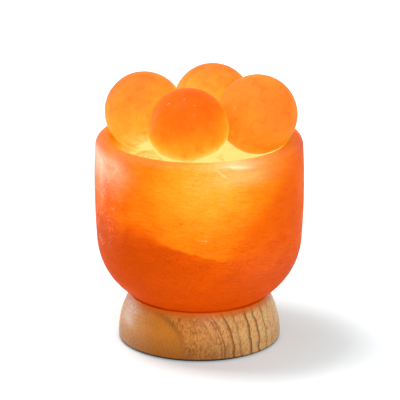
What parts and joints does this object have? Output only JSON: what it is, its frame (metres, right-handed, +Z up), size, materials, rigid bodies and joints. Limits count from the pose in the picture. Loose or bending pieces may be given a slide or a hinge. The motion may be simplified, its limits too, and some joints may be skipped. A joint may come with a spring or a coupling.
{
  "type": "salt crystal lamp",
  "caption": "Lit rock salt bowl on a turned wooden base, with loose round salt massage stones seated in a ring on its rounded lip and a small screw bulb inside.",
  "frame": {"origin": "on the lamp's axis, in the plane of the felt pads' undersides, on the surface that the lamp stands on", "axes": "+Z up along the turned axis of the bowl and base; -Y is the pictured front; the cord groove of the base runs out to +Y"},
  "size_m": [0.1582, 0.1582, 0.2089],
  "materials": {
    "salt": "hand-turned and rubbed rock salt, waxy and translucent, with fine turning scratches, pits and darker strata, lit orange from inside",
    "wood": "turned golden-brown hardwood with dark growth stripes, oiled satin",
    "felt": "pressed wool felt",
    "steel": "zinc plated",
    "nylon": "moulded nylon",
    "phenolic": "moulded phenolic, semi gloss",
    "brass": "drawn brass, plain",
    "spring_steel": "blued spring strip",
    "frosted_glass": "frosted inside, lit",
    "cap_metal": "nickelled brass, rolled thread",
    "vitrite": "black glass insulator",
    "solder": "tin solder",
    "clear_glass": "clear stem glass",
    "tungsten": "drawn wire"
  },
  "bodies": {
    "lamp": {"wood_base": "wood", "foot_pads": "felt", "salt_bowl": "salt", "base_screws": "steel", "base_washers": "steel", "screw_plugs": "nylon", "holder_cap": "phenolic", "holder_shell": "phenolic", "holder_core": "phenolic", "screw_sleeve": "brass", "centre_contact": "brass", "terminals": "brass", "terminal_screws": "steel", "spring_clip": "spring_steel"},
    "bulb": {"bulb_glass": "frosted_glass", "bulb_cap": "cap_metal", "bulb_insulator": "vitrite", "bulb_tip_contact": "solder", "bulb_stem": "clear_glass", "lead_wires": "tungsten", "filament": "tungsten", "filament_supports": "tungsten"},
    "ball_left": {"salt_ball_left": "salt"},
    "ball_back": {"salt_ball_back": "salt"},
    "ball_right": {"salt_ball_right": "salt"},
    "ball_front": {"salt_ball_front": "salt"}
  },
  "joints": [
    {"name": "bulb_unscrew", "type": "slide", "parent": "lamp", "child": "bulb", "axis": [0, 0, 1], "range_m": [0, 0.026]},
    {"name": "ball_left_lift", "type": "slide", "parent": "lamp", "child": "ball_left", "axis": [0, 0, 1], "range_m": [0, 0.08]},
    {"name": "ball_back_lift", "type": "slide", "parent": "lamp", "child": "ball_back", "axis": [0, 0, 1], "range_m": [0, 0.08]},
    {"name": "ball_right_lift", "type": "slide", "parent": "lamp", "child": "ball_right", "axis": [0, 0, 1], "range_m": [0, 0.08]},
    {"name": "ball_front_lift", "type": "slide", "parent": "lamp", "child": "ball_front", "axis": [0, 0, 1], "range_m": [0, 0.08]}
  ]
}
